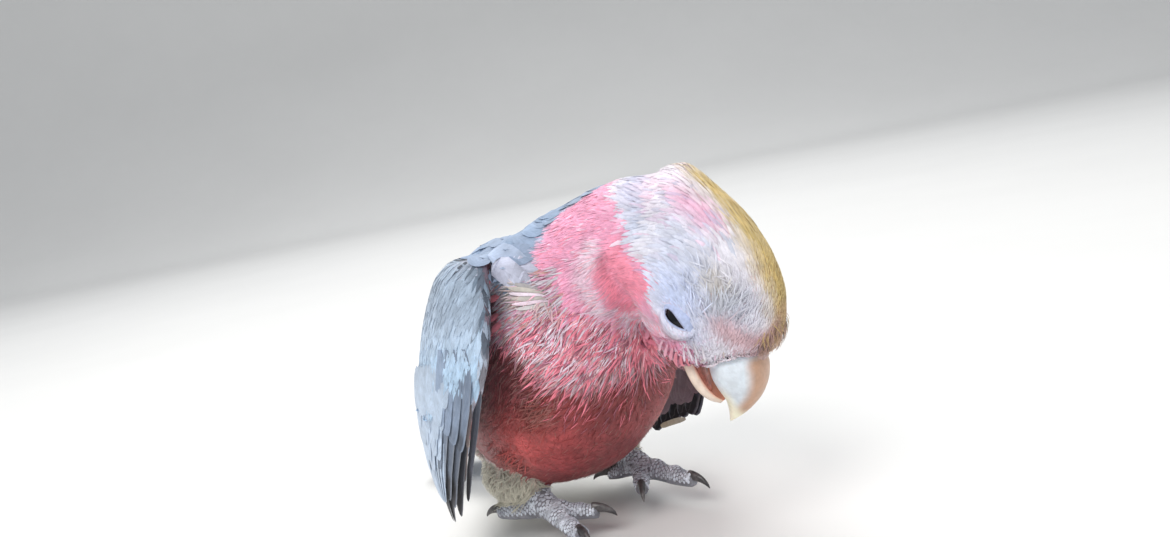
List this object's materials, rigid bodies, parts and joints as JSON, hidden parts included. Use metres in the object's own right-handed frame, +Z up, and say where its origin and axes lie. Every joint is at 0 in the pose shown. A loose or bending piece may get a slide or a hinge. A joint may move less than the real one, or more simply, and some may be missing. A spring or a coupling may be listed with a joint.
{
  "type": "young galah figure",
  "caption": "Life-size still model of a young galah squatting on both feet, head bowed and turned to its left, wings drooping, tail laid on the floor.",
  "frame": {"origin": "middle of the bounding box in plan, on the floor under the feet", "axes": "+Z up; the bird faces -Y and its left side is +X"},
  "size_m": [0.089, 0.1606, 0.092],
  "materials": {
    "rose_plumage": "soft matte rose feathers",
    "pale_plumage": "soft matte pinkish-white feathers",
    "grey_plumage": "satin silvery blue-grey feathers",
    "dark_plumage": "satin slate feathers",
    "horn": "semi-gloss ivory horn",
    "claw": "semi-gloss dark horn",
    "scaly_skin": "matte grey scaly skin",
    "bare_skin": "soft bare skin",
    "eye": "wet gloss"
  },
  "bodies": {
    "root": {"head": "pale_plumage", "crest": "pale_plumage", "neck": "rose_plumage", "trunk": "rose_plumage", "tail": "grey_plumage", "cere": "bare_skin", "tongue": "bare_skin", "bill_upper": "horn", "bill_lower": "horn", "wing_right": "grey_plumage", "flight_feathers_right": "dark_plumage", "thigh_right": "pale_plumage", "foot_right": "scaly_skin", "eye_right": "eye", "claw_right_front_outer": "claw", "claw_right_front_inner": "claw", "claw_right_back_outer": "claw", "claw_right_back_inner": "claw", "wing_left": "grey_plumage", "flight_feathers_left": "dark_plumage", "thigh_left": "pale_plumage", "foot_left": "scaly_skin", "eye_left": "eye", "claw_left_front_outer": "claw", "claw_left_front_inner": "claw", "claw_left_back_outer": "claw", "claw_left_back_inner": "claw"}
  },
  "joints": []
}
